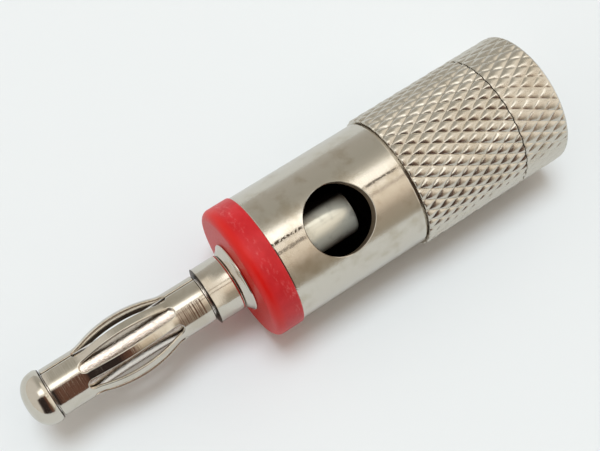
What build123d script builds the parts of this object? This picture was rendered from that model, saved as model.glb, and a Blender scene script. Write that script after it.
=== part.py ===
from build123d import *
import os
from math import atan, cos, pi, radians, sin, tan

# A 4 mm banana plug with a screw clamp for the wire. The plug's axis is +Z. It stands on the
# flat end of its rear cap, with the contact pin's tip upwards. The origin is the centre of the
# rear cap's end face. The wire hole in the barrel's side faces -Y. All lengths are millimetres.

# Lengths along the axis, from the rear end to the tip
cap_length = 3.9
grip_length = 8.5
shoulder_gap = 0.2
barrel_length = 10.35
ring_thickness = 2.2
flange_thickness = 0.7
collar_length = 2.05
spring_length = 11.8
spring_end_play = 0.05
head_length = 1.85

# Barrel with its wire hole. The ring and the grips stand a little proud of it
barrel_diameter = 9.8
barrel_wall = 1.0
barrel_front_wall = 1.5
barrel_edge = 0.12
wire_hole_diameter = 5.0
wire_hole_setback = 4.9
ring_rise = 0.1
knurl_rise = 0.25

# Knurled grips of the clamp sleeve and the rear cap
knurl_depth = 0.18
knurl_starts = 35
knurl_helix_deg = 31.0
grip_front_chamfer = 0.3
joint_chamfer = 0.14
end_chamfer = 0.4

# Screw threads, drawn as plain cylinders: the clamp sleeve's in the barrel, and the rear cap's
# on the clamp sleeve
thread_clearance = 0.05
clamp_thread_length = 2.1
clamp_neck_inset = 0.55
cap_wall = 1.1
cap_end_wall = 1.0
tail_end_gap = 0.5

# Way of the cable: entry in the cap, slit collet, and bore to the wire hole
entry_chamfer = 0.3
entry_ledge = 0.35
tail_wall = 0.85
collet_length = 3.8
collet_rear_wall = 1.1
collet_taper_deg = 8.0
collet_slit_width = 0.6
collet_slit_count = 3
collet_root = 0.9
collet_clearance = 0.05

# Pressure ring, which turns freely in a pocket in the clamp sleeve's nose
pocket_wall = 0.75
pocket_lip = 0.2
pocket_clearance = 0.05
pressure_flange_thickness = 0.8
pressure_step = 0.2
pressure_nose_height = 0.4
pressure_nose_wall = 1.15

# Contact pin: domed head, just under the 4 mm of its socket, and the core inside the spring
head_diameter = 3.9
head_band = 0.4
head_edge = 0.1
dome_corner_radius = 1.15
core_end_gap = 0.3
pin_socket_depth = 4.5
press_clearance = 0.01

# Lantern spring: a slotted sheet, rolled up, with leaves that bulge between the slots
head_rise = 0.2
sheet_thickness = 0.22
spring_clearance = 0.08
leaf_count = 8
leaf_width = 0.65
leaf_length = 7.2
leaf_bulge = 0.61
leaf_bend_radius = 2.5
first_slot_deg = 15.0
seam_width = 0.12
seam_slot = 1

# Contact body: collar, flange, shank and the anvil rod that the wire is pressed against
socket_wall = 0.35
collar_rise = 0.3
collar_edge = 0.08
flange_rise = 0.5
flange_rim = 0.25
flange_groove = 0.07
anvil_nose_radius = 0.5
wire_gap = 1.15

# Colour ring
ring_front_round = 0.6
ring_rear_edge = 0.1

# Levels along the axis
z_grip_front = cap_length + grip_length
z_barrel_rear = z_grip_front + shoulder_gap
z_barrel_front = z_barrel_rear + barrel_length
z_ring_front = z_barrel_front + ring_thickness
z_flange_front = z_ring_front + flange_thickness
z_collar_front = z_flange_front + collar_length
z_spring_rear = z_collar_front + spring_end_play
z_spring_front = z_spring_rear + spring_length
z_head_base = z_spring_front + spring_end_play
z_tip = z_head_base + head_length
z_wire_hole = z_barrel_front - wire_hole_setback
z_clamp_nose = z_barrel_rear + clamp_thread_length
z_pressure_step = z_clamp_nose - pocket_lip - pocket_clearance
z_pressure_rear = z_pressure_step - pressure_flange_thickness
z_pressure_front = z_pressure_step + pressure_nose_height
z_anvil_end = z_pressure_front + wire_gap
z_clamp_tail = cap_end_wall + tail_end_gap
z_collet_rear = cap_end_wall + collet_clearance
z_collet_front = z_collet_rear + collet_length
z_socket = z_collar_front - pin_socket_depth

# Radii of the body, from the outside inwards
barrel_radius = barrel_diameter / 2
ring_radius = barrel_radius + ring_rise
knurl_radius = barrel_radius + knurl_rise
barrel_bore = barrel_radius - barrel_wall
spigot_radius = barrel_bore - thread_clearance
pressure_flange = spigot_radius - pocket_wall - pocket_clearance
pressure_nose = pressure_flange - pressure_step
pressure_bore = pressure_nose - pressure_nose_wall
cap_bore = knurl_radius - cap_wall
tail_radius = cap_bore - thread_clearance
collet_rear_radius = tail_radius - tail_wall - collet_clearance
collet_slope = tan(radians(collet_taper_deg))
wire_bore = collet_rear_radius - collet_rear_wall
cable_entry = collet_rear_radius - entry_ledge

# Radii of the contact, from the head inwards and back out to the flange
head_radius = head_diameter / 2
spring_radius = head_radius - head_rise
core_radius = spring_radius - sheet_thickness - spring_clearance
socket_radius = core_radius + press_clearance
shank_radius = core_radius + socket_wall
shank_hole = shank_radius + press_clearance
collar_radius = shank_radius + collar_rise
flange_radius = collar_radius + flange_rise

# How far a cutter runs past what it cuts
beyond = 1.0


def turned(*lines):
    """A solid of revolution about the plug's axis. The lines close an outline in (radius, z)."""
    outline = make_face([edge for line in lines for edge in line.edges()])
    return revolve(Plane.XZ * outline, Axis.Z)


def turned_points(*points):
    """A solid of revolution whose outline is straight between (radius, z) points."""
    return turned(Polyline(*points, close=True))


def rod(radius, z_low, z_high):
    return turned_points((0, z_low), (radius, z_low), (radius, z_high), (0, z_high))


def bar(radius, z_low, z_high, low_chamfer, high_chamfer):
    """A round bar with a chamfer at each end."""
    return turned_points(
        (0, z_low),
        (radius - low_chamfer, z_low),
        (radius, z_low + low_chamfer),
        (radius, z_high - high_chamfer),
        (radius - high_chamfer, z_high),
        (0, z_high),
    )


def knurled_bar(z_low, z_high, low_chamfer, high_chamfer):
    """A knurled grip, chamfered at both ends. Grooves of both hands cross at the low corners of
    each diamond and its peak stands in the middle, so each diamond is four flat facets."""
    half_step = pi / knurl_starts
    nominal_row = knurl_radius * half_step / tan(radians(knurl_helix_deg))
    knurl_length = z_high - z_low - low_chamfer - high_chamfer
    rows = round(knurl_length / nominal_row)
    row_height = knurl_length / rows
    levels = [z_low, *(z_low + low_chamfer + row * row_height for row in range(rows + 1)), z_high]
    tops = [knurl_radius - low_chamfer, *[knurl_radius] * (rows + 1), knurl_radius - high_chamfer]
    columns = 2 * knurl_starts
    last = len(levels) - 1

    def corner(level, column):
        row = min(max(level, 1), last - 1)
        radius = min(knurl_radius - knurl_depth * ((row + column) % 2), tops[level])
        angle = half_step * (column % columns)
        return Vector(radius * cos(angle), radius * sin(angle), levels[level])

    def facet(spots):
        return Face(Wire.make_polygon([corner(*spot) for spot in spots], close=True))

    facets = [facet([(level, column) for column in range(columns)]) for level in (0, last)]
    for level in range(last):
        for column in range(columns):
            here, right = (level, column), (level, column + 1)
            above, across = (level + 1, column), (level + 1, column + 1)
            if (level + column) % 2:
                facets += [facet([here, right, across]), facet([here, across, above])]
            else:
                facets += [facet([here, right, above]), facet([right, across, above])]
    return Solid(Shell(facets))


def make_contact_pin():
    """The domed head and the core that runs through the spring into the contact body."""
    z_dome = z_head_base + head_band
    z_core_end = z_socket + core_end_gap
    sides = Polyline(
        (0, z_tip),
        (0, z_core_end),
        (core_radius - head_edge, z_core_end),
        (core_radius, z_core_end + head_edge),
        (core_radius, z_head_base),
        (head_radius - head_edge, z_head_base),
        (head_radius, z_head_base + head_edge),
        (head_radius, z_dome),
    )
    height = z_tip - z_dome
    corner_centre = head_radius - dome_corner_radius
    crown_radius = (corner_centre**2 + height**2 - dome_corner_radius**2) / (height - dome_corner_radius) / 2
    share = crown_radius / (crown_radius - dome_corner_radius)
    meeting = (share * corner_centre, z_tip - crown_radius + share * (crown_radius - height))
    corner = TangentArc((head_radius, z_dome), meeting, tangent=(0, 1))
    crown = TangentArc((0, z_tip), meeting, tangent=(1, 0))
    return turned(sides, corner, crown)


def bow(z_low, z_high, inset=0.0):
    """Three tangent arcs along a leaf, from one band out to its crown and back to the other
    band. They lie inset below the sheet's outer face and keep its centres."""
    foot = spring_radius - inset
    crown = foot + leaf_bulge
    z_middle = (z_low + z_high) / 2
    turn = 2 * atan(leaf_bulge / (z_middle - z_low))
    bend = leaf_bend_radius + inset
    knee = foot + bend * (1 - cos(turn))
    rise = bend * sin(turn)
    return [
        TangentArc((foot, z_low), (knee, z_low + rise), tangent=(0, 1)),
        ThreePointArc((knee, z_low + rise), (crown, z_middle), (knee, z_high - rise)),
        TangentArc((foot, z_high), (knee, z_high - rise), tangent=(0, -1)),
    ]


def make_lantern_spring():
    """Two plain bands joined by narrow bulging leaves. Each leaf keeps its width, so the slots
    open up where the leaves stand out. The sheet's two edges meet in a seam along one slot."""
    z_middle = (z_spring_rear + z_spring_front) / 2
    z_low = z_middle - leaf_length / 2
    z_high = z_middle + leaf_length / 2
    inside = spring_radius - sheet_thickness
    sheet = turned(
        Line((spring_radius, z_spring_rear), (spring_radius, z_low)),
        *bow(z_low, z_high),
        Polyline(
            (spring_radius, z_high),
            (spring_radius, z_spring_front),
            (inside, z_spring_front),
            (inside, z_high),
        ),
        *bow(z_low, z_high, sheet_thickness),
        Polyline((inside, z_low), (inside, z_spring_rear), (spring_radius, z_spring_rear)),
    )
    end = (2 * pi * spring_radius / leaf_count - leaf_width) / 2
    middle = end + leaf_bulge * pi / leaf_count
    z_end_low = z_low + end
    z_end_high = z_high - end
    slot_outline = [
        ThreePointArc((-end, z_end_low), (-middle, z_middle), (-end, z_end_high)),
        ThreePointArc((end, z_end_low), (middle, z_middle), (end, z_end_high)),
        ThreePointArc((-end, z_end_low), (0, z_low), (end, z_end_low)),
        ThreePointArc((-end, z_end_high), (0, z_high), (end, z_end_high)),
    ]
    slot_depth = spring_radius + leaf_bulge + beyond
    slot = extrude(Plane.YZ * make_face(slot_outline), slot_depth)
    slot_step = 360 / leaf_count
    first_slot = first_slot_deg - 90
    for index in range(leaf_count):
        sheet -= Rot(0, 0, first_slot + index * slot_step) * slot
    seam = Pos(slot_depth / 2, 0, z_middle) * Box(slot_depth, seam_width, spring_length + beyond)
    return sheet - Rot(0, 0, first_slot + seam_slot * slot_step) * seam


def make_contact_body():
    """One turned piece: collar, flared flange, shank and anvil rod, with a socket for the pin."""
    body = turned_points(
        (0, z_socket),
        (0, z_anvil_end),
        (shank_radius, z_anvil_end),
        (shank_radius, z_ring_front),
        (flange_radius, z_ring_front),
        (flange_radius, z_ring_front + flange_rim),
        (collar_radius, z_flange_front - flange_groove),
        (collar_radius - flange_groove, z_flange_front),
        (collar_radius, z_flange_front + flange_groove),
        (collar_radius, z_collar_front - collar_edge),
        (collar_radius - collar_edge, z_collar_front),
        (socket_radius, z_collar_front),
        (socket_radius, z_socket),
    )
    nose = body.edges().filter_by(GeomType.CIRCLE).sort_by(Axis.Z)[0]
    return fillet(nose, anvil_nose_radius)


def make_colour_ring():
    """The moulded ring between the flange and the barrel, rounded at its front edge."""
    z_round = z_ring_front - ring_front_round
    front_edge = (ring_radius - ring_front_round, z_ring_front)
    lower = Polyline(
        front_edge,
        (shank_hole, z_ring_front),
        (shank_hole, z_barrel_front),
        (ring_radius - ring_rear_edge, z_barrel_front),
        (ring_radius, z_barrel_front + ring_rear_edge),
        (ring_radius, z_round),
    )
    rounding = TangentArc((ring_radius, z_round), front_edge, tangent=(0, 1))
    return turned(lower, rounding)


def make_barrel():
    """The shell with its front wall, the threaded bore at the rear and the wire hole."""
    shell = bar(barrel_radius, z_barrel_rear, z_barrel_front, barrel_edge, barrel_edge)
    shell -= rod(barrel_bore, z_barrel_rear - beyond, z_barrel_front - barrel_front_wall)
    shell -= rod(shank_hole, z_barrel_rear, z_barrel_front + beyond)
    drill = Cylinder(
        wire_hole_diameter / 2,
        barrel_diameter,
        align=(Align.CENTER, Align.CENTER, Align.MIN),
    )
    return shell - Pos(0, 0, z_wire_hole) * Rot(90, 0, 0) * drill


def make_pressure_ring():
    """The ring that bears on the wire and doesn't turn with the clamp sleeve."""
    return turned_points(
        (pressure_bore, z_pressure_rear),
        (pressure_flange, z_pressure_rear),
        (pressure_flange, z_pressure_step),
        (pressure_nose, z_pressure_step),
        (pressure_nose, z_pressure_front),
        (pressure_bore, z_pressure_front),
    )


def make_clamp_sleeve():
    """Knurled grip with a threaded nose for the barrel and a threaded tail for the cap."""
    sleeve = knurled_bar(cap_length, z_grip_front, joint_chamfer, grip_front_chamfer)
    sleeve += rod(barrel_radius - clamp_neck_inset, z_grip_front, z_barrel_rear)
    sleeve += rod(spigot_radius, z_barrel_rear, z_clamp_nose)
    sleeve += rod(tail_radius, z_clamp_tail, cap_length)
    pocket = pressure_flange + pocket_clearance
    lip = pressure_nose + pocket_clearance
    z_pocket = z_pressure_rear - pocket_clearance
    seat_rear = collet_rear_radius + collet_clearance
    z_seat_rear = z_collet_rear - beyond
    z_seat_front = z_collet_front + collet_clearance
    way = turned_points(
        (0, z_seat_rear),
        (seat_rear + beyond * collet_slope, z_seat_rear),
        (seat_rear - (z_seat_front - z_collet_rear) * collet_slope, z_seat_front),
        (wire_bore, z_seat_front),
        (wire_bore, z_pocket),
        (pocket, z_pocket),
        (pocket, z_clamp_nose - pocket_lip),
        (lip, z_clamp_nose - pocket_lip),
        (lip, z_clamp_nose + beyond),
        (0, z_clamp_nose + beyond),
    )
    return sleeve - way


def make_cable_collet():
    """A tapered ring, slit from its front so that its jaws close on the cable."""
    collet = turned_points(
        (wire_bore, z_collet_rear),
        (collet_rear_radius, z_collet_rear),
        (collet_rear_radius - collet_length * collet_slope, z_collet_front),
        (wire_bore, z_collet_front),
    )
    slit = Box(
        2 * collet_rear_radius,
        collet_slit_width,
        collet_length,
        align=(Align.MIN, Align.CENTER, Align.MIN),
    )
    for index in range(collet_slit_count):
        collet -= Pos(0, 0, z_collet_rear + collet_root) * Rot(0, 0, index * 360 / collet_slit_count) * slit
    return collet


def make_rear_cap():
    """The knurled cap, threaded inside, with the cable entry through its end wall."""
    cap = knurled_bar(0, cap_length, end_chamfer, joint_chamfer)
    cap -= rod(cap_bore, cap_end_wall, cap_length + beyond)
    return cap - turned_points(
        (0, -beyond),
        (cable_entry + entry_chamfer + beyond, -beyond),
        (cable_entry, entry_chamfer),
        (cable_entry, cap_length),
        (0, cap_length),
    )


os.makedirs("parts", exist_ok=True)
export_step(make_contact_pin(), "parts/contact_pin.step")
export_step(make_lantern_spring(), "parts/lantern_spring.step")
export_step(make_contact_body(), "parts/contact_body.step")
export_step(make_colour_ring(), "parts/colour_ring.step")
export_step(make_barrel(), "parts/barrel.step")
export_step(make_pressure_ring(), "parts/pressure_ring.step")
export_step(make_clamp_sleeve(), "parts/clamp_sleeve.step")
export_step(make_cable_collet(), "parts/cable_collet.step")
export_step(make_rear_cap(), "parts/rear_cap.step")
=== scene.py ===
import math
from collections import namedtuple

import bmesh
import bpy
from mathutils import Matrix, Vector


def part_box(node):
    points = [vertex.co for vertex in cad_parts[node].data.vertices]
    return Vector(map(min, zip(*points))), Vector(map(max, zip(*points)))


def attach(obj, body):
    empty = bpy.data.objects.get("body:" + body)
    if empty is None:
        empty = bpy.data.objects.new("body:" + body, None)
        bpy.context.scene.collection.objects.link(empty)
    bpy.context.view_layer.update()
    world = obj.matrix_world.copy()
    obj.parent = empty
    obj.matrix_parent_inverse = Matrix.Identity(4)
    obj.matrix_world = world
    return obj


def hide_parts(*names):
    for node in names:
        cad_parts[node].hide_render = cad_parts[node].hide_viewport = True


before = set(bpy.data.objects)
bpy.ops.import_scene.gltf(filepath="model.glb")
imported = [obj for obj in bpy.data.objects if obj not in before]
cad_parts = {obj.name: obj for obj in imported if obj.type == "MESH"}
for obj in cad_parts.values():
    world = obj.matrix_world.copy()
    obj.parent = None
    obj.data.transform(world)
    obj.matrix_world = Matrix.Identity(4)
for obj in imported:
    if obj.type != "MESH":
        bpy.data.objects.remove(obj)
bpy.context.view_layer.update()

# The plug lies on a table in the photograph and stands on its rear cap in the CAD frame, so the
# camera and the table are turned instead: the table is a plane beside the plug, parallel to its axis.
MM = 0.001
CAMERA_PLACE = Vector((6.42, -76.15, 36.99)) * MM
CAMERA_RIGHT = Vector((-0.5139, -0.2284, -0.8269))
CAMERA_UP = Vector((0.8547, -0.0542, -0.5162))
CAMERA_LENS = 67.15
CAMERA_SENSOR = 36.0
TABLE_NORMAL = Vector((0.406, -0.914, 0.0)).normalized()
TABLE_DROP = 5.16 * MM
TABLE_SIZE = 0.9
TABLE_COLOUR = (0.815, 0.825, 0.825)
TABLE_MIRRORED = 0.83

# FACING points from the plug's axis to the side that the camera sees, and ACROSS goes across that
# side, towards the photograph's lower right. Turns round the axis are measured from FACING, in
# degrees, and grow the way that ACROSS points.
FACING = Vector((CAMERA_PLACE.x, CAMERA_PLACE.y, 0.0)).normalized()
ACROSS = Vector((FACING.y, -FACING.x, 0.0))


def node_box(name):
    """A node's lowest and highest corners in millimetres."""
    low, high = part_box(name)
    return low / MM, high / MM


# Levels and radii of the plug in millimetres, from the CAD nodes where they can be read
PIN_LOW, PIN_HIGH = node_box("contact_pin")
SPRING_LOW, SPRING_HIGH = node_box("lantern_spring")
BODY_LOW, BODY_HIGH = node_box("contact_body")
RING_LOW, RING_HIGH = node_box("colour_ring")
BARREL_LOW, BARREL_HIGH = node_box("barrel")
SLEEVE_LOW, SLEEVE_HIGH = node_box("clamp_sleeve")
CAP_LOW, CAP_HIGH = node_box("rear_cap")
KNURL_RADIUS = CAP_HIGH.x
BARREL_RADIUS = BARREL_HIGH.x
SHANK_HOLE = 1.81

# Mesh helpers, in millimetres

SAME_SPOT = 1e-5
SAME_LEVEL = 1e-4
TINY = 1e-6
# Material slots. DARK, and DULL on the spring, hold painted shade.
BRIGHT, DULL, DARK = 0, 1, 2


def spot(radius, turn, z):
    return Vector((radius * math.cos(turn), radius * math.sin(turn), z))


def evenly(start, end, steps):
    """Values from start to end in equal steps, with both of them."""
    return [start + (end - start) * k / steps for k in range(steps + 1)]


def softened(points, steps=4):
    """An outline from (radius, z, cut) points, with each corner rounded off over its cut."""
    outline = []
    count = len(points)
    for index, (r, z, cut) in enumerate(points):
        here = Vector((r, z))
        if not cut:
            outline.append((r, z))
            continue
        before = Vector(points[index - 1][:2])
        after = Vector(points[(index + 1) % count][:2])
        start = here + (before - here).normalized() * cut
        end = here + (after - here).normalized() * cut
        for t in evenly(0.0, 1.0, steps):
            place = start * (1 - t) ** 2 + here * 2 * t * (1 - t) + end * t**2
            outline.append((place.x, place.y))
    return outline


def arc_points(centre, radius, start_deg, end_deg, steps):
    """Points of an arc in (radius, z)."""
    turns = [math.radians(degrees) for degrees in evenly(start_deg, end_deg, steps)]
    return [(centre[0] + radius * math.cos(t), centre[1] + radius * math.sin(t)) for t in turns]


def level_ring(bm, radius, z, turns):
    return [bm.verts.new(spot(radius, turn, z)) for turn in turns]


def strip(bm, first, second, start=0, closed=True, material_index=BRIGHT):
    """Faces between two rows of vertices, from the start-th vertices on."""
    count = len(first)
    for k in range(start, count if closed else count - 1):
        after = (k + 1) % count
        face = bm.faces.new((first[k], first[after], second[after], second[k]))
        face.material_index = material_index


def revolve(bm, outline, segments, closed=True):
    """Revolves an outline of (radius, z) about the plug's axis."""
    turns = evenly(0.0, 2 * math.pi, segments)[:-1]
    rings = [level_ring(bm, r, z, turns) for r, z in outline]
    if closed:
        rings.append(rings[0])
    for low, high in zip(rings, rings[1:]):
        strip(bm, low, high)


def paint(bm, pick):
    """Gives each face the material that pick returns for its radius and its level."""
    for face in bm.faces:
        middle = face.calc_center_median()
        face.material_index = pick(math.hypot(middle.x, middle.y), middle.z)


def make_piece(name, bm, body, replaced, materials, sharp_deg):
    """Turns a bmesh in millimetres into a finished piece that rides on a body."""
    bmesh.ops.remove_doubles(bm, verts=bm.verts, dist=SAME_SPOT)
    bmesh.ops.dissolve_degenerate(bm, edges=bm.edges, dist=TINY)
    bmesh.ops.recalc_face_normals(bm, faces=bm.faces)
    bmesh.ops.scale(bm, vec=(MM, MM, MM), verts=bm.verts)
    mesh = bpy.data.meshes.new(name)
    bm.to_mesh(mesh)
    bm.free()
    mesh.shade_smooth()
    mesh.set_sharp_from_angle(angle=math.radians(sharp_deg))
    for material in materials:
        mesh.materials.append(material)
    piece = bpy.data.objects.new(name, mesh)
    bpy.context.collection.objects.link(piece)
    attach(piece, body)
    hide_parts(replaced)
    return piece


# Knurled grips. Two grooves cross at KNURL_PHASE on the +x side, GROOVE_STOPS are the mesh lines
# across half a diamond, and a higher PILLOW gives flatter diamonds with steeper sides.

KNURL_STARTS = 35
KNURL_HELIX = math.radians(31.0)
KNURL_STEP = math.pi / KNURL_STARTS
KNURL_ROW = KNURL_RADIUS * KNURL_STEP / math.tan(KNURL_HELIX)
KNURL_PHASE = 12.23
GROOVE_STOPS = (0.0, 0.05, 0.12, 0.21, 0.34, 0.5)
PILLOW = 2.6
ROUNDING_CUTS = (0.1, 0.35, 1.0)
CAP_LENGTH = CAP_HIGH.z
GRIP_FRONT = 12.43
JOINT_SLIT = 0.03
THREAD_PITCH = 0.6
THREAD_DEPTH = 0.12
THREAD_RINGS = 6


def knurl_skin(bm, z_low, z_high, depth, low_round, high_round):
    """Pillow-like diamonds between crossing helical grooves, cut off square at both levels and
    rounded there. The mesh lines follow the grooves, so that each groove has a crisp floor."""
    stops = GROOVE_STOPS + tuple(1.0 - s for s in reversed(GROOVE_STOPS[:-1]))
    swell = [1.0 - abs(1.0 - 2.0 * s) ** PILLOW for s in stops]
    cuts = len(stops) - 1
    wrap = 2 * KNURL_STARTS * cuts
    verts = {}

    def vertex(p, q):
        key = ((p + q) % wrap, p - q)
        if key not in verts:
            p_cell, p_cut = divmod(p, cuts)
            q_cell, q_cut = divmod(q, cuts)
            across = p_cell + stops[p_cut]
            along = q_cell + stops[q_cut]
            radius = KNURL_RADIUS - depth * (1.0 - swell[p_cut] * swell[q_cut])
            level = KNURL_PHASE + KNURL_ROW * (across - along)
            verts[key] = bm.verts.new(spot(radius, KNURL_STEP * (across + along), level))
        return verts[key]

    def diamond(p_cell, q_cell):
        for p in range(p_cell * cuts, (p_cell + 1) * cuts):
            for q in range(q_cell * cuts, (q_cell + 1) * cuts):
                bm.faces.new((vertex(p, q), vertex(p + 1, q), vertex(p + 1, q + 1), vertex(p, q + 1)))

    first = math.floor((z_low - KNURL_PHASE) / KNURL_ROW) - 1
    last = math.ceil((z_high - KNURL_PHASE) / KNURL_ROW) + 1
    for rise in range(first, last + 1):
        for total in range(rise % 2, 2 * KNURL_STARTS, 2):
            diamond((total + rise) // 2, (total - rise) // 2)

    def slice_at(level, clear_above=False, clear_below=False):
        geometry = bm.verts[:] + bm.edges[:] + bm.faces[:]
        bmesh.ops.bisect_plane(bm, geom=geometry, plane_co=(0, 0, level), plane_no=(0, 0, 1), dist=TINY,
                               clear_outer=clear_above, clear_inner=clear_below)

    slice_at(z_low, clear_below=True)
    slice_at(z_high, clear_above=True)
    for share in ROUNDING_CUTS:
        slice_at(z_low + low_round * share)
        slice_at(z_high - high_round * share)

    def fall(into):
        """How far a rounding of radius 1 has fallen back, that far into it."""
        return 1 - math.sqrt(max(0.0, 1 - into**2))

    for v in bm.verts:
        radius = math.hypot(v.co.x, v.co.y)
        into_low = max(0.0, (z_low + low_round - v.co.z) / low_round)
        into_high = max(0.0, (v.co.z - z_high + high_round) / high_round)
        wanted = min(radius, KNURL_RADIUS - low_round * fall(into_low) - high_round * fall(into_high))
        v.co.x *= wanted / radius
        v.co.y *= wanted / radius


def rim_edges(bm, level):
    """The open edges at a level."""
    return [e for e in bm.edges if e.is_boundary and all(abs(v.co.z - level) < SAME_LEVEL for v in e.verts)]


def plain(points):
    """Points of (radius, z) as (radius, z, thread depth) without a thread."""
    return [(r, z, 0.0) for r, z in points]


def thread_outline(radius, z_start, z_end):
    """Points of (radius, z, thread depth) along a screw thread."""
    count = max(2, round(abs(z_end - z_start) / THREAD_PITCH * THREAD_RINGS))
    return [(radius, z, THREAD_DEPTH) for z in evenly(z_start, z_end, count)]


def grow_rings(bm, edges, outline):
    """Extrudes a rim along (radius, z, thread depth) points. Returns the last rim."""
    for r, z, depth in outline:
        grown = bmesh.ops.extrude_edge_only(bm, edges=edges)["geom"]
        edges = [item for item in grown if isinstance(item, bmesh.types.BMEdge)]
        for v in {v for e in edges for v in e.verts}:
            turn = math.atan2(v.co.y, v.co.x)
            wave = abs(((z / THREAD_PITCH - turn / (2 * math.pi)) % 1.0) * 2 - 1)
            v.co = spot(r - depth * wave, turn, z)
    return edges


def line_inside(bm, start_level, end_level, outline):
    """Extrudes the rim at one level along an outline, and joins it to the rim at another level."""
    last = grow_rings(bm, rim_edges(bm, start_level), outline)
    end_rim = [e for e in rim_edges(bm, end_level) if e not in last]
    bmesh.ops.bridge_loops(bm, edges=last + end_rim)


def make_sleeve(material):
    """The front grip, with the thread that goes into the barrel and the one that the cap is on."""
    bm = bmesh.new()
    grip_rear = CAP_LENGTH + JOINT_SLIT
    knurl_skin(bm, grip_rear, GRIP_FRONT, depth=0.14, low_round=0.05, high_round=0.12)
    shoulder = BARREL_LOW.z - 0.02
    nose, tail = SLEEVE_HIGH.z, SLEEVE_LOW.z
    neck, spigot, tail_radius, chamfer = 4.65, 3.85, 4.0, 0.15
    pocket, lip, bore = 3.1, 2.9, 2.0
    lip_rear, pocket_floor = nose - 0.2, nose - 1.1
    seat_front, seat_small, seat_large = 4.9, 2.57, 3.12
    outline = plain([(neck + 0.1, GRIP_FRONT), (neck, GRIP_FRONT), (neck, shoulder), (spigot, shoulder)])
    outline += thread_outline(spigot, shoulder + 0.07, nose - chamfer)
    outline += plain([(spigot - chamfer, nose), (lip, nose), (lip, lip_rear), (pocket, lip_rear)])
    outline += plain([(pocket, pocket_floor), (bore, pocket_floor), (bore, seat_front)])
    outline += plain([(seat_small, seat_front), (seat_large, tail), (tail_radius - chamfer, tail)])
    outline += thread_outline(tail_radius, tail + chamfer, CAP_LENGTH - 0.1)
    outline += plain([(tail_radius, grip_rear), (neck, grip_rear)])
    line_inside(bm, GRIP_FRONT, grip_rear, outline)
    make_piece("grip_front", bm, "clamp_body", "clamp_sleeve", [material], sharp_deg=30.0)


def make_cap(material):
    """The rear grip with its bore and the chamfered cable entry."""
    bm = bmesh.new()
    rim = CAP_LENGTH - JOINT_SLIT
    knurl_skin(bm, 0.0, rim, depth=0.085, low_round=0.42, high_round=0.05)
    bore, bore_chamfer, wall = 4.05, 0.1, 1.0
    entry, entry_chamfer, end_face = 2.75, 0.3, 4.2
    outline = [(bore + bore_chamfer, rim), (bore, rim - bore_chamfer), (bore, wall), (entry, wall)]
    outline += [(entry, entry_chamfer), (entry + entry_chamfer, 0.0), (end_face, 0.0)]
    line_inside(bm, rim, 0.0, plain(outline))
    make_piece("grip_rear", bm, "cap_body", "rear_cap", [material], sharp_deg=30.0)


# Lantern spring. Its leaves are laid out on the unrolled sheet, with x round the band and z along
# it. EDGE_CHAIN rounds an edge off, as (depth under the outside, share of SPRING_EDGE still to go).

LEAF_COUNT = 8
LEAF_WIDTH = 0.65
LEAF_LENGTH = 7.2
LEAF_BEND = 2.5
LEAF_COLUMNS = 12
SHEET = 0.22
BAND_RADIUS = 1.75
SEAM = 0.12
SPRING_MIDDLE = (SPRING_LOW.z + SPRING_HIGH.z) / 2
SPRING_EDGE = 0.075
EDGE_TURNS = [math.radians(turn) for turn in (30, 60, 90)]
EDGE_CHAIN = [(SPRING_EDGE * (1 - math.cos(turn)), 1 - math.sin(turn)) for turn in EDGE_TURNS]
EDGE_CHAIN += [(SHEET - inset, share) for inset, share in reversed(EDGE_CHAIN)]
FIRST_SLOT = math.radians(-75.0)
SEAM_SLOT = 1

# A row of a leaf's vertices: the outer and the inner skin's, the rounded edges' at its free sides,
# and where the skins end on the sheet. A side is the sign of its x, and its end of the skins' rows.
LeafRow = namedtuple("LeafRow", "outer inner edges ends")
SIDES = ((-1, 0), (1, -1))


def leaf_rise(z):
    """How far a leaf stands out of the bands at a level: three tangent arcs."""
    bulge = SPRING_HIGH.x - BAND_RADIUS
    half = LEAF_LENGTH / 2
    turn = 2 * math.atan(bulge / half)
    knee = LEAF_BEND * (1 - math.cos(turn))
    run = LEAF_BEND * math.sin(turn)
    inward = half - abs(z - SPRING_MIDDLE)
    if inward <= 0:
        return 0.0
    if inward <= run:
        return LEAF_BEND - math.sqrt(LEAF_BEND**2 - inward**2)
    chord = half - run
    sag = bulge - knee
    crown = (chord**2 + sag**2) / (2 * sag)
    return bulge - crown + math.sqrt(crown**2 - (z - SPRING_MIDDLE) ** 2)


def leaf_side(seam):
    """One side of a leaf's outline, from one end of the spring to the other, as (distance from the
    leaf's middle, z, inward x, inward z, free), where free edges face a slot or the seam."""
    pitch = 2 * math.pi * BAND_RADIUS / LEAF_COUNT
    edge = pitch / 2
    slot_round = (pitch - LEAF_WIDTH) / 2
    seam_edge = edge - SEAM / 2 if seam else edge
    straight = LEAF_LENGTH / 2 - slot_round
    low_half = []
    for z in evenly(SPRING_LOW.z + SPRING_EDGE, SPRING_MIDDLE - LEAF_LENGTH / 2 - 0.15, 6):
        low_half.append((seam_edge, z, -1.0, 0.0, seam))
    for share in evenly(1.0, 0.0, 12):
        turn = math.pi / 2 * share
        x = edge - slot_round * math.cos(turn)
        z = SPRING_MIDDLE - straight - slot_round * math.sin(turn)
        clipped = min(x, seam_edge)
        inward = (-math.cos(turn), -math.sin(turn)) if clipped == x else (-1.0, 0.0)
        low_half.append((clipped, z, *inward, True))
    for share in evenly(1.0, 0.0, 16)[1:]:
        low_half.append((LEAF_WIDTH / 2, SPRING_MIDDLE - straight * share, -1.0, 0.0, True))
    mirrored = reversed(low_half[:-1])
    return low_half + [(x, 2 * SPRING_MIDDLE - z, nx, -nz, free) for x, z, nx, nz, free in mirrored]


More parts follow.
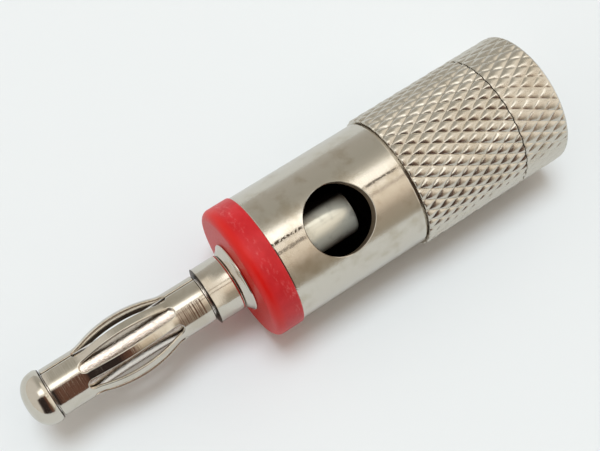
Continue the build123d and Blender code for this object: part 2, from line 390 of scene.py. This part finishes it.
def on_sheet(x, z, inset, leaf_turn):
    """A point of a leaf's sheet as it is rolled and bulged, at a depth under the outside."""
    radius = BAND_RADIUS + leaf_rise(z)
    return spot(radius - inset, leaf_turn + x / radius, z)


def leaf_row(bm, left, right, leaf_turn):
    """The vertices of a leaf between a point of its left side and one of its right side."""
    edges, ends = {}, []
    for (sign, _), (x, z, nx, nz, free) in zip(SIDES, (left, right)):
        soft = SPRING_EDGE if free else 0.0
        ends.append((sign * (x + nx * soft), z + nz * soft))
        if free:
            edges[sign] = [bm.verts.new(on_sheet(sign * (x + nx * soft * share), z + nz * soft * share,
                                                 inset, leaf_turn)) for inset, share in EDGE_CHAIN]
    places = list(zip(*(evenly(start, end, LEAF_COLUMNS) for start, end in zip(*ends))))
    outer = [bm.verts.new(on_sheet(x, z, 0.0, leaf_turn)) for x, z in places]
    inner = [bm.verts.new(on_sheet(x, z, SHEET, leaf_turn)) for x, z in places]
    return LeafRow(outer, inner, edges, ends)


def join_rows(bm, row, above):
    """The faces between two rows: both skins, and the rounded edges where both rows have them."""
    strip(bm, row.outer, above.outer, closed=False)
    # The inner skin is painted shade
    strip(bm, row.inner, above.inner, closed=False, material_index=DULL)
    for sign, end in SIDES:
        if sign in row.edges and sign in above.edges:
            chains = [[r.outer[end], *r.edges[sign], r.inner[end]] for r in (row, above)]
            strip(bm, *chains, closed=False)


def round_end(bm, row, leaf_turn, level, inward):
    """Rounds off the band's rim, at a level beyond a leaf's first or last row."""
    xs = evenly(row.ends[0][0], row.ends[1][0], LEAF_COLUMNS)
    turns = [leaf_turn + x / BAND_RADIUS for x in xs]
    lines = [level_ring(bm, BAND_RADIUS - inset, level + inward * SPRING_EDGE * share, turns)
             for inset, share in EDGE_CHAIN]
    for first, second in zip([row.outer, *lines], [*lines, row.inner]):
        strip(bm, first, second, closed=False)
    for sign, end in SIDES:
        if sign in row.edges:
            side = row.edges[sign]
            corner = [line[end] for line in lines]
            strip(bm, side, corner, closed=False)
            bm.faces.new((row.outer[end], side[0], corner[0]))
            bm.faces.new((side[-1], row.inner[end], corner[-1]))


def make_spring(material, inside):
    """The rolled sheet, one strip to each leaf, with softened edges at its slots and its seam, and its
    inner skin in painted shade.
    """
    bm = bmesh.new()
    for leaf in range(LEAF_COUNT):
        leaf_turn = FIRST_SLOT + 2 * math.pi / LEAF_COUNT * (leaf + 0.5)
        points = zip(leaf_side(leaf == SEAM_SLOT), leaf_side(leaf + 1 == SEAM_SLOT))
        rows = [leaf_row(bm, left, right, leaf_turn) for left, right in points]
        for row, above in zip(rows, rows[1:]):
            join_rows(bm, row, above)
        round_end(bm, rows[0], leaf_turn, SPRING_LOW.z, 1)
        round_end(bm, rows[-1], leaf_turn, SPRING_HIGH.z, -1)
    make_piece("spring_leaves", bm, "spring_body", "lantern_spring", [material, inside],
               sharp_deg=32.0)


# Turned pieces of the contact, and the ring

def make_pin(material, rough, dark):
    """Domed head with a softened rear rim in painted shade, and the plain core inside the spring."""
    base = SPRING_HIGH.z + 0.08
    tip, head = PIN_HIGH.z, PIN_HIGH.x
    core = BAND_RADIUS - SHEET - 0.08
    rim, rim_level = head - 0.1, base + 0.04
    widest, blunt = base + 0.32, 0.86
    outline = [(0.0, PIN_LOW.z), (core, PIN_LOW.z), (core, base), (rim - 0.05, base), (rim, rim_level)]
    for t in evenly(0.0, 1.0, 6)[1:]:
        radius = rim + (head - rim) * math.sin(math.pi / 2 * t)
        outline.append((radius, rim_level + (widest - rim_level) * t))
    for turn in evenly(0.0, math.pi / 2, 32)[1:]:
        radius = head * max(0.0, math.cos(turn)) ** blunt
        outline.append((radius, widest + (tip - widest) * math.sin(turn) ** blunt))

    def pick(radius, z):
        if radius < core + 0.05 and z < base + 0.1:
            return DULL
        # The head's rear rim, beside the spring, is painted shade
        return DARK if z < rim_level - 0.01 else BRIGHT

    bm = bmesh.new()
    revolve(bm, outline, 128, closed=False)
    paint(bm, pick)
    make_piece("pin_turned", bm, "plug_body", "contact_pin", [material, rough, dark],
               sharp_deg=40.0)


def make_body(material, dull, dark):
    """Collar with a burred front edge, groove, flared flange, shank and the anvil rod. The groove, the
    collar's front face and its socket are painted shade.
    """
    front = BODY_HIGH.z - 0.14
    seat, flange = RING_HIGH.z, BODY_HIGH.x
    collar, burr, shank, socket, bore_floor = 2.1, 0.03, 1.8, 1.46, 23.25
    groove, groove_radius, groove_half = 25.78, 2.02, 0.03
    lip = flange - 0.04
    flare_low, flare_high, flare_end = seat + 0.2, groove - 0.06, collar + 0.02
    outline = softened([(0.0, BODY_LOW.z, 0), (shank, BODY_LOW.z, 0.5), (shank, seat, 0)], 8)
    outline += [(lip, seat), (flange, seat + 0.05), (flange, seat + 0.15)]
    for t in evenly(0.0, 1.0, 8):
        outline.append((lip + (flare_end - lip) * t, flare_low + (flare_high - flare_low) * t**1.25))
    outline += [(groove_radius, groove - groove_half), (groove_radius, groove + groove_half)]
    outline += [(collar - 0.01, groove + 0.1), (collar, groove + 0.2), (collar, front - 0.1)]
    outline += [(collar + burr, front - 0.05), (collar + burr, front - 0.02), (collar - burr, front)]
    outline += [(BAND_RADIUS - 0.05, front), (socket, front + 0.02)]
    outline += [(socket, bore_floor), (0.0, bore_floor)]

    def pick(radius, z):
        if z < BARREL_HIGH.z:
            return DULL
        in_groove = abs(z - groove) < groove_half + 0.01
        # Painted shade in the groove, on the collar's front face and in the socket
        return DARK if in_groove or z > front - 0.015 or radius < socket + 0.05 else BRIGHT

    bm = bmesh.new()
    revolve(bm, outline, 144, closed=False)
    paint(bm, pick)
    make_piece("collar_turned", bm, "plug_body", "contact_body", [material, dull, dark],
               sharp_deg=40.0)


def make_ring(material):
    """The moulded ring, well rounded at the front and a little at the back."""
    low, high, radius = RING_LOW.z, RING_HIGH.z, RING_HIGH.x
    rounding = 0.6
    outline = [(SHANK_HOLE, high), (SHANK_HOLE, low)]
    outline += softened([(radius - 0.4, low, 0), (radius, low, 0.12), (radius, high - rounding, 0)])
    outline += arc_points((radius - rounding, high - rounding), rounding, 0, 90, 12)[1:]
    bm = bmesh.new()
    revolve(bm, outline, 192)
    make_piece("ring_moulded", bm, "plug_body", "colour_ring", [material], sharp_deg=40.0)


# Barrel with its drilled hole. Each skin has a square patch of rays round the hole and an even grid
# over the rest. PATCH is half the patch's width, and PATCH_TURN is the same as a turn.

HOLE_RADIUS = 2.5
HOLE_LEVEL = 18.05
HOLE_EDGE = 0.045
HOLE_TURN = -math.pi / 2
BARREL_BORE = 3.9
PATCH = 3.2
PATCH_TURN = math.asin(PATCH / BARREL_RADIUS)
PATCH_SIDE = 16
PATCH_RIM = 4 * PATCH_SIDE
RAY_STEPS = 8
REST_COLUMNS = 56
REST_ROWS = 3
END_ROW = 0.05
SKIN_TURNS = evenly(HOLE_TURN - PATCH_TURN, HOLE_TURN + PATCH_TURN, PATCH_SIDE)[:-1]
SKIN_TURNS += evenly(HOLE_TURN + PATCH_TURN, HOLE_TURN + 2 * math.pi - PATCH_TURN, REST_COLUMNS)[:-1]


def circle_point(k, radius):
    """The k-th point on the hole's rim, from its middle, in step with square_point."""
    turn = 2 * math.pi * (k - PATCH_SIDE / 2) / PATCH_RIM
    return radius * math.cos(turn), radius * math.sin(turn)


def square_point(k):
    """The k-th point on a square of half width 1, anticlockwise from its lower right corner."""
    part, step = divmod(k, PATCH_SIDE)
    t = step / PATCH_SIDE * 2 - 1
    return ((1, t), (-t, 1), (-1, -t), (t, -1))[part]


def on_skin(x, z, radius):
    """A point of a cylinder on the side that the hole is in."""
    return Vector((x, -math.sqrt(max(0.0, radius**2 - x**2)), z))


def barrel_skin(bm, radius, z_low, z_high, hole, half_z):
    """One skin of the shell. Returns the hole's rim and the skin's lowest and highest rows."""
    rings = []
    for step in range(RAY_STEPS + 1):
        t = (step / RAY_STEPS) ** 1.3
        ring = []
        for k in range(PATCH_RIM):
            hole_x, hole_z = circle_point(k, hole)
            side_x, side_z = square_point(k)
            x = hole_x * (1 - t) + radius * math.sin(side_x * PATCH_TURN) * t
            z = HOLE_LEVEL + hole_z * (1 - t) + side_z * half_z * t
            ring.append(bm.verts.new(on_skin(x, z, radius)))
        rings.append(ring)
    for near, far in zip(rings, rings[1:]):
        strip(bm, near, far)
    # A row close to each end keeps the long faces' shading even
    below = [z_low] + evenly(z_low + END_ROW, HOLE_LEVEL - half_z, REST_ROWS)[:-1]
    beside = evenly(HOLE_LEVEL - half_z, HOLE_LEVEL + half_z, PATCH_SIDE)[:-1]
    above = evenly(HOLE_LEVEL + half_z, z_high - END_ROW, REST_ROWS) + [z_high]
    grid = [level_ring(bm, radius, z, SKIN_TURNS) for z in below + beside + above]
    patch_rows = range(len(below), len(below + beside))
    for index, (row, row_above) in enumerate(zip(grid, grid[1:])):
        strip(bm, row, row_above, start=PATCH_SIDE if index in patch_rows else 0)
    return rings[0], grid[0], grid[-1]


def make_barrel(material):
    """The shell: two skins, joined through the wire hole, over the front wall and round the rear rim."""
    bm = bmesh.new()
    low, high = BARREL_LOW.z - 0.03, BARREL_HIGH.z
    outer, edge, bevel = BARREL_RADIUS, 0.05, 0.015
    floor = high - 1.5
    half_z = min(HOLE_LEVEL - low - edge, floor - HOLE_LEVEL) - 0.15
    outer_rim, outer_low, outer_high = barrel_skin(bm, outer, low + edge, high - edge,
                                                   HOLE_RADIUS + HOLE_EDGE, half_z)
    inner_rim, inner_low, inner_high = barrel_skin(bm, BARREL_BORE, low + edge, floor, HOLE_RADIUS, half_z)
    wall = []
    for k in range(PATCH_RIM):
        x, z = circle_point(k, HOLE_RADIUS)
        wall.append(bm.verts.new(on_skin(x, HOLE_LEVEL + z, outer - HOLE_EDGE)))
    strip(bm, outer_rim, wall)
    strip(bm, wall, inner_rim)
    front = [(outer - bevel, high - bevel), (outer - edge, high), (SHANK_HOLE, high), (SHANK_HOLE, floor)]
    rear = [(outer - bevel, low + bevel), (outer - edge, low), (BARREL_BORE + edge, low)]
    for start, outline, end in ((outer_high, front, inner_high), (outer_low, rear, inner_low)):
        chain = [start, *(level_ring(bm, r, z, SKIN_TURNS) for r, z in outline), end]
        for first, second in zip(chain, chain[1:]):
            strip(bm, first, second)
    make_piece("barrel_shell", bm, "plug_body", "barrel", [material], sharp_deg=30.0)


# Node helpers. The Mix node has more sockets than its colours, so these are by their numbers.

MIX_FACTOR, MIX_FIRST, MIX_SECOND, MIX_RESULT = 0, 6, 7, 2


def new_material(name):
    material = bpy.data.materials.new(name)
    material.use_nodes = True
    material.node_tree.nodes.clear()
    return material, material.node_tree


def add(tree, kind, **values):
    """A node with its properties, and its inputs given by name, set from values."""
    node = tree.nodes.new(kind)
    for key, value in values.items():
        if key in node.inputs:
            node.inputs[key].default_value = value
        else:
            setattr(node, key, value)
    return node


def link(tree, start, end):
    tree.links.new(start, end)


def maths(tree, operation, *sources):
    """A Math node over sockets or numbers."""
    node = add(tree, "ShaderNodeMath", operation=operation)
    for slot, source in enumerate(sources):
        if isinstance(source, (int, float)):
            node.inputs[slot].default_value = source
        else:
            link(tree, source, node.inputs[slot])
    return node.outputs[0]


def product(tree, *factors):
    """All the factors multiplied together."""
    result = factors[0]
    for factor in factors[1:]:
        result = maths(tree, "MULTIPLY", result, factor)
    return result


def plus(tree, base, source, share):
    """The base and a share of the source."""
    return maths(tree, "ADD", base, product(tree, source, share))


def apart(tree, first, second):
    """How far two values are from each other."""
    return maths(tree, "ABSOLUTE", maths(tree, "SUBTRACT", first, second))


def between(tree, source, low, high):
    """0 on low's side and 1 on high's, with a soft step between. Low may be the larger of the two."""
    node = add(tree, "ShaderNodeMapRange", interpolation_type="SMOOTHSTEP")
    node.inputs["From Min"].default_value = low
    node.inputs["From Max"].default_value = high
    link(tree, source, node.inputs["Value"])
    return node.outputs["Result"]


def ramp(tree, source, stops):
    """A colour ramp from stops of (place, colour)."""
    node = add(tree, "ShaderNodeValToRGB")
    elements = node.color_ramp.elements
    while len(elements) < len(stops):
        elements.new(0.5)
    for element, (place, colour) in zip(elements, stops):
        element.position = place
        element.color = (*colour, 1.0)
    link(tree, source, node.inputs["Fac"])
    return node.outputs["Color"]


def blend_colours(tree, amount, first, second):
    """The first colour where the amount is 0 and the second where it is 1, from sockets or tuples."""
    node = add(tree, "ShaderNodeMix", data_type="RGBA")
    link(tree, amount, node.inputs[MIX_FACTOR])
    for slot, source in ((MIX_FIRST, first), (MIX_SECOND, second)):
        if isinstance(source, tuple):
            node.inputs[slot].default_value = (*source, 1.0)
        else:
            link(tree, source, node.inputs[slot])
    return node.outputs[MIX_RESULT]


def darker(colour, share):
    return tuple(c * share for c in colour)


def local_place(tree, scale=(1.0, 1.0, 1.0)):
    """Object coordinates in millimetres, scaled."""
    where = add(tree, "ShaderNodeTexCoord")
    mapping = add(tree, "ShaderNodeMapping", Scale=[s / MM for s in scale])
    link(tree, where.outputs["Object"], mapping.inputs["Vector"])
    return mapping.outputs["Vector"]


def noise(tree, place, scale, detail, roughness=0.55):
    node = add(tree, "ShaderNodeTexNoise", Scale=scale, Detail=detail, Roughness=roughness)
    link(tree, place, node.inputs["Vector"])
    return node.outputs["Fac"]


def component(tree, vector, axis):
    """A vector's X, Y or Z."""
    node = add(tree, "ShaderNodeSeparateXYZ")
    link(tree, vector, node.inputs["Vector"])
    return node.outputs[axis]


def along(tree, place, direction):
    """How far a place lies along a direction."""
    node = add(tree, "ShaderNodeVectorMath", operation="DOT_PRODUCT")
    node.inputs[1].default_value = tuple(direction)
    link(tree, place, node.inputs[0])
    return node.outputs["Value"]


def distance_from_axis(tree, place):
    """How far a place lies from the plug's axis."""
    x, y = component(tree, place, "X"), component(tree, place, "Y")
    return maths(tree, "SQRT", maths(tree, "ADD", product(tree, x, x), product(tree, y, y)))


def finish_shader(tree, shader, tone, rough, height):
    """Gives a shader its colour, its roughness and its bumps, which are in millimetres."""
    link(tree, tone, shader.inputs["Base Color"])
    link(tree, rough, shader.inputs["Roughness"])
    bump = add(tree, "ShaderNodeBump", Strength=1.0, Distance=MM)
    link(tree, height, bump.inputs["Height"])
    link(tree, bump.outputs["Normal"], shader.inputs["Normal"])
    out = add(tree, "ShaderNodeOutputMaterial")
    link(tree, shader.outputs["BSDF"], out.inputs["Surface"])


# Materials

NICKEL_COLOUR = (0.71, 0.67, 0.59)
TARNISH_COLOUR = tuple(c * share for c, share in zip(NICKEL_COLOUR, (0.72, 0.66, 0.56)))
# Painted reflection: dark lines along the edge of the window's reflection on the barrel
REFLECTED_LINE_COLOUR = (0.07, 0.05, 0.032)
# Brown of a cut wall darkened with painted shade, and the bore's painted shade
CUT_WALL_AND_SHADE_COLOUR = (0.26, 0.19, 0.13)
BORE_PAINTED_SHADE = (0.02, 0.017, 0.015)
# Painted shade on the side of the anvil rod that the barrel shades
SHADED_COLOUR = (0.03, 0.024, 0.02)
RED_COLOUR = (0.53, 0.010, 0.015)
RED_CLOUD_COLOUR = (0.61, 0.019, 0.025)
# Painted light: the brighter, deeper red where light passes through the ring's front edge
RED_EDGE_GLOW_COLOUR = (0.64, 0.009, 0.005)
SCUFF_COLOUR = (0.75, 0.24, 0.23)
SCUFF_STRENGTH = 0.45
SCUFF_LEVEL = RING_LOW.z + 1.05
SEE_INTO = {
    "Subsurface Weight": 0.2,
    "Subsurface Radius": (0.8 * MM, 0.15 * MM, 0.12 * MM),
    "Subsurface Scale": 1.0,
}
# The barrel's painted reflection: dark dotted lines where the window's reflection ends. Place across its
# front, width, lowest and highest level, strength
BARREL_REFLECTED_LINES = [
    (-0.50, 0.14, 20.2, 23.4, 0.95),
    (-0.50, 0.12, 12.6, 15.9, 0.8),
    (0.17, 0.16, 20.4, 23.4, 0.5),
]


def scratched(tree, place, cloud):
    """Fine turning scratches that run round the axis and come and go."""
    lines = add(tree, "ShaderNodeTexNoise", noise_dimensions="1D", Scale=9.0, Detail=3.0)
    link(tree, component(tree, place, "Z"), lines.inputs["W"])
    return product(tree, lines.outputs["Fac"], between(tree, cloud, 0.3, 0.5))


def painted_reflection_line(tree, place, across, width, z_low, z_high):
    """A thin dark dotted line of painted reflection along the plug, a given way across its front, between
    two levels.
    """
    level = component(tree, place, "Z")
    wobble = maths(tree, "SUBTRACT", noise(tree, place, 2.6, 4.0), 0.5)
    offset = apart(tree, plus(tree, along(tree, place, ACROSS), wobble, 0.22), across)
    return product(
        tree,
        between(tree, offset, width, width * 0.35),
        between(tree, along(tree, place, FACING), 0.0, 1.0),
        between(tree, level, z_low, z_low + 0.6),
        between(tree, level, z_high, z_high - 0.6),
        between(tree, noise(tree, place, 7.0, 2.0), 0.36, 0.50),
    )


def nickel(name, roughness, haze, grit, tarnish, scratch=0.0, wave=0.0, painted_shade_radii=(), reflected_lines=()):
    """Bright nickel plating, slightly warm, with haze, turning scratches, grit and tarnish. Inside the
    first of the two inner radii it is brown as a cut wall, darkened with painted shade, and inside the
    second dark with the painted shade of the bore."""
    material, tree = new_material(name)
    place = local_place(tree)
    cloud = noise(tree, place, 0.55, 5.0, 0.6)
    grain = noise(tree, place, 9.0, 3.0, 0.6)
    tarnished = product(tree, between(tree, cloud, 0.45, 0.72), tarnish)
    tone = blend_colours(tree, tarnished, NICKEL_COLOUR, TARNISH_COLOUR)
    rough = plus(tree, plus(tree, roughness, cloud, haze), grain, haze * 0.5)
    # Painted reflection: dark dotted lines where the window's reflection ends
    for across, width, z_low, z_high, strength in reflected_lines:
        mask = product(tree, painted_reflection_line(tree, place, across, width, z_low, z_high), strength)
        tone = blend_colours(tree, mask, tone, REFLECTED_LINE_COLOUR)
        rough = plus(tree, rough, mask, 0.3)
    # Painted shade inside the barrel: the cut wall darkened, the bore near black
    for radius, colour in zip(painted_shade_radii, (CUT_WALL_AND_SHADE_COLOUR, BORE_PAINTED_SHADE)):
        inside = between(tree, distance_from_axis(tree, place), radius, radius - 0.04)
        tone = blend_colours(tree, inside, tone, colour)
        rough = plus(tree, rough, inside, 0.3)
    height = plus(tree, product(tree, grain, grit), scratched(tree, place, cloud), scratch)
    if wave:
        height = plus(tree, height, noise(tree, place, 1.3, 2.0), wave)
    shader = add(tree, "ShaderNodeBsdfPrincipled", Metallic=1.0)
    finish_shader(tree, shader, tone, rough, height)
    return material


def dull_metal(name, colour, roughness, metallic, grit, shaded=()):
    """Unpolished metal, uneven and a little rough. Across from the first place of shaded to the second it
    goes dark with painted shade."""
    material, tree = new_material(name)
    place = local_place(tree)
    cloud = noise(tree, place, 1.1, 4.0)
    grain = noise(tree, place, 7.0, 4.0, 0.65)
    tone = blend_colours(tree, between(tree, cloud, 0.5, 0.75), colour, darker(colour, 0.75))
    if shaded:
        tone = blend_colours(tree, between(tree, along(tree, place, ACROSS), *shaded), tone, SHADED_COLOUR)
    shader = add(tree, "ShaderNodeBsdfPrincipled", Metallic=metallic)
    finish_shader(tree, shader, tone, plus(tree, roughness, grain, 0.25), product(tree, grain, grit))
    return material


def red_plastic():
    """Moulded red plastic, a little see-into, with painted light of a brighter, deeper red at its front
    edge, and scuffed round its middle.
    """
    material, tree = new_material("ring_plastic")
    place = local_place(tree)
    level = component(tree, place, "Z")
    cloud = noise(tree, place, 0.7, 3.0)
    grain = noise(tree, place, 6.0, 4.0)
    streaks = noise(tree, local_place(tree, (2.2, 2.2, 5.0)), 1.0, 5.0, 0.65)
    drift = maths(tree, "MAXIMUM", along(tree, place, ACROSS), 0.0)
    offset = apart(tree, plus(tree, level, drift, 0.22), SCUFF_LEVEL)
    scuff = product(tree, between(tree, offset, 0.55, 0.1), between(tree, streaks, 0.50, 0.75))
    # Painted light at the front edge, as where light passes through the plastic
    front = between(tree, level, RING_HIGH.z - 1.0, RING_HIGH.z - 0.3)
    tone = blend_colours(tree, between(tree, cloud, 0.35, 0.7), RED_COLOUR, RED_CLOUD_COLOUR)
    tone = blend_colours(tree, front, tone, RED_EDGE_GLOW_COLOUR)
    tone = blend_colours(tree, product(tree, scuff, SCUFF_STRENGTH), tone, SCUFF_COLOUR)
    height = plus(tree, product(tree, grain, 0.006), scuff, 0.004)
    shader = add(tree, "ShaderNodeBsdfPrincipled", IOR=1.42, **SEE_INTO)
    finish_shader(tree, shader, tone, plus(tree, 0.25, grain, 0.25), height)
    return material


def dress(names, material):
    """Gives CAD nodes a material."""
    for name in names:
        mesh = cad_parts[name].data
        mesh.materials.clear()
        mesh.materials.append(material)


def make_pieces():
    pin = nickel("pin_plating", 0.06, 0.09, grit=0.0012, tarnish=0.35, scratch=0.002, wave=0.012)
    spring = nickel("spring_plating", 0.05, 0.07, grit=0.0012, tarnish=0.4, scratch=0.007, wave=0.008)
    # The barrel's inside is painted shade, and dark lines of painted reflection run along its front
    barrel = nickel("barrel_plating", 0.07, 0.10, grit=0.004, tarnish=0.6, scratch=0.0015,
                    painted_shade_radii=(BARREL_RADIUS - 0.06, BARREL_BORE + 0.05), reflected_lines=BARREL_REFLECTED_LINES)
    knurl = nickel("knurl_plating", 0.17, 0.12, grit=0.003, tarnish=0.4)
    # Near black painted shade for the parts deep inside the barrel
    inner = dull_metal("inside_parts_painted_shade", (0.03, 0.026, 0.022), 0.5, metallic=1.0, grit=0.003)
    core = dull_metal("core_plating", (0.95, 0.89, 0.82), 0.05, metallic=1.0, grit=0.022)
    # Painted shade for the spring's inner skin, the head's rear rim and the collar's recesses
    inside = dull_metal("dark_painted_shade", (0.08, 0.057, 0.04), 0.3, metallic=1.0, grit=0.003)
    # The rod's upper side is painted shade, where the barrel shades it
    rod = dull_metal("rod_metal", (1.0, 0.95, 0.79), 0.06, metallic=0.35, grit=0.002, shaded=(-0.75, -1.25))
    make_pin(pin, core, inside)
    make_body(pin, rod, inside)
    make_spring(spring, inside)
    make_ring(red_plastic())
    make_barrel(barrel)
    make_sleeve(knurl)
    make_cap(knurl)
    dress(["contact_pin", "contact_body"], pin)
    dress(["lantern_spring"], spring)
    dress(["barrel"], barrel)
    dress(["clamp_sleeve", "rear_cap"], knurl)
    # The parts inside the barrel are in painted shade
    dress(["pressure_ring", "cable_collet"], inner)


# Table, light and camera

def table_material():
    """Matt white from above, a little darker where metal mirrors it, and clear from below, so that
    the plug shows from behind it too."""
    material, tree = new_material("table_white")
    matt = add(tree, "ShaderNodeBsdfDiffuse")
    rays = add(tree, "ShaderNodeLightPath")
    mirrored = darker(TABLE_COLOUR, TABLE_MIRRORED)
    colour = blend_colours(tree, rays.outputs["Is Glossy Ray"], TABLE_COLOUR, mirrored)
    link(tree, colour, matt.inputs["Color"])
    clear = add(tree, "ShaderNodeBsdfTransparent")
    side = add(tree, "ShaderNodeNewGeometry")
    choice = add(tree, "ShaderNodeMixShader")
    out = add(tree, "ShaderNodeOutputMaterial")
    link(tree, side.outputs["Backfacing"], choice.inputs[0])
    link(tree, matt.outputs[0], choice.inputs[1])
    link(tree, clear.outputs[0], choice.inputs[2])
    link(tree, choice.outputs[0], out.inputs["Surface"])
    return material


def make_table():
    mesh = bpy.data.meshes.new("table")
    across = TABLE_NORMAL.cross(Vector((0.0, 0.0, 1.0)))
    centre = -TABLE_NORMAL * TABLE_DROP
    half = TABLE_SIZE / 2
    corners = [(-half, -half), (half, -half), (half, half), (-half, half)]
    points = [centre + across * a + Vector((0.0, 0.0, b)) for a, b in corners]
    mesh.from_pydata(points, [], [(0, 1, 2, 3)])
    if mesh.polygons[0].normal.dot(TABLE_NORMAL) < 0:
        mesh.flip_normals()
    mesh.materials.append(table_material())
    table = bpy.data.objects.new("table", mesh)
    bpy.context.collection.objects.link(table)


# The room that the metal mirrors: its colour by the turn round the axis, and patches over it. A
# patch is four turns, four rises towards the tip in degrees, and a colour. It starts at the first
# turn and rise, is full from the second to the third, and ends at the fourth. The patches are the
# walls beyond the tip and behind the cap, a soft window, the dark observer with a darker spot for
# the camera, and two thin bars.
ROOM_LEVEL = [
    (-180, (0.60, 0.60, 0.59)),
    (-110, (0.55, 0.55, 0.53)),
    (-95, (0.46, 0.44, 0.40)),
    (-60, (0.42, 0.405, 0.36)),
    (-47, (0.47, 0.45, 0.40)),
    (-36, (0.75, 0.72, 0.65)),
    (-29, (1.11, 1.05, 0.96)),
    (-4, (1.20, 1.11, 0.99)),
    (6, (1.10, 0.99, 0.85)),
    (24, (0.80, 0.69, 0.57)),
    (40, (0.43, 0.37, 0.30)),
    (62, (0.38, 0.34, 0.275)),
    (78, (0.50, 0.48, 0.44)),
    (110, (0.56, 0.55, 0.54)),
    (180, (0.60, 0.60, 0.59)),
]
ALL_ROUND = (-400.0, -300.0, 300.0, 400.0)
FRONT_WALL = ALL_ROUND, (-1.0, 14.0, 95.0, 99.0), (0.70, 0.67, 0.625)
REAR_WALL = (-80.0, -55.0, 55.0, 80.0), (-99.0, -95.0, -34.0, -22.0), (1.0, 0.93, 0.83)
WINDOW = (-39.0, -27.0, -18.0, -11.0), (-27.0, -8.0, 12.0, 26.0), (1.9, 1.87, 1.8)
OBSERVER = (-11.0, -5.0, 68.0, 80.0), (-8.2, -4.2, 34.0, 48.0), (0.15, 0.075, 0.053)
CAMERA_SPOT = (-10.0, -4.0, 66.0, 80.0), (5.0, 11.0, 36.0, 50.0), (0.035, 0.025, 0.023)
BAR_TURNS = ((-13.5, -12.5, -11.0, -10.0), (2.0, 3.5, 5.0, 6.5))
BARS = [(turns, (-60.0, -50.0, 0.0, 1.0), (0.19, 0.12, 0.085)) for turns in BAR_TURNS]
PATCHES = [FRONT_WALL, REAR_WALL, WINDOW, OBSERVER, CAMERA_SPOT, *BARS]
BACKDROP = (0.83, 0.84, 0.84)


def height_at(rise):
    """The height of a direction that rises by some degrees. Past a right angle it is a height that
    no direction has."""
    within = max(-90.0, min(90.0, rise))
    return math.sin(math.radians(within)) + rise - within


def plateau(tree, source, stops):
    """1 from the second of four stops to the third, and 0 before the first and after the fourth."""
    start, full, fading, end = stops
    return product(tree, between(tree, source, start, full), between(tree, source, end, fading))


def make_room():
    """The world: the room for the metal and the light, and a plain backdrop for the camera."""
    world = bpy.data.worlds.new("studio")
    bpy.context.scene.world = world
    world.use_nodes = True
    tree = world.node_tree
    tree.nodes.clear()
    where = add(tree, "ShaderNodeTexCoord")
    turned = add(tree, "ShaderNodeMapping", Rotation=(0.0, 0.0, -math.atan2(FACING.y, FACING.x)))
    link(tree, where.outputs["Generated"], turned.inputs["Vector"])
    radial = add(tree, "ShaderNodeTexGradient", gradient_type="RADIAL")
    link(tree, turned.outputs["Vector"], radial.inputs["Vector"])
    seen = ramp(tree, radial.outputs["Fac"],
                [(0.5 - turn / 360.0, colour) for turn, colour in reversed(ROOM_LEVEL)])
    around = product(tree, maths(tree, "SUBTRACT", 0.5, radial.outputs["Fac"]), 360.0)
    height = component(tree, where.outputs["Generated"], "Z")
    for turns, rises, patch_colour in PATCHES:
        heights = [height_at(rise) for rise in rises]
        patch = product(tree, plateau(tree, around, turns), plateau(tree, height, heights))
        seen = blend_colours(tree, patch, seen, patch_colour)
    rays = add(tree, "ShaderNodeLightPath")
    colour = blend_colours(tree, rays.outputs["Is Camera Ray"], seen, BACKDROP)
    light = add(tree, "ShaderNodeBackground", Strength=1.0)
    link(tree, colour, light.inputs["Color"])
    out = add(tree, "ShaderNodeOutputWorld")
    link(tree, light.outputs["Background"], out.inputs["Surface"])


LAMP_TOWARDS = Vector((0.50, -0.86, 0.0))
LAMP_STRENGTH = 1.32
LAMP_COLOUR = (0.90, 1.05, 1.17)
LAMP_WIDTH = math.radians(24.0)


def make_lamp():
    """A broad soft lamp above the table, which the metal doesn't mirror."""
    data = bpy.data.lights.new("soft_lamp", "SUN")
    data.energy = LAMP_STRENGTH
    data.color = LAMP_COLOUR
    data.angle = LAMP_WIDTH
    lamp = bpy.data.objects.new("soft_lamp", data)
    bpy.context.collection.objects.link(lamp)
    lamp.rotation_euler = LAMP_TOWARDS.to_track_quat("Z", "Y").to_euler()
    lamp.visible_glossy = False


def make_camera():
    data = bpy.data.cameras.new("camera")
    data.lens = CAMERA_LENS
    data.sensor_width = CAMERA_SENSOR
    data.clip_start = 0.005
    data.clip_end = 5.0
    camera = bpy.data.objects.new("camera", data)
    bpy.context.collection.objects.link(camera)
    right = CAMERA_RIGHT.normalized()
    back = right.cross(CAMERA_UP).normalized()
    up = back.cross(right)
    turned = Matrix((right, up, back)).transposed().to_4x4()
    camera.matrix_world = Matrix.Translation(CAMERA_PLACE) @ turned
    bpy.context.scene.camera = camera


make_pieces()
make_table()
make_room()
make_lamp()
make_camera()
bpy.context.scene.view_settings.view_transform = "Standard"
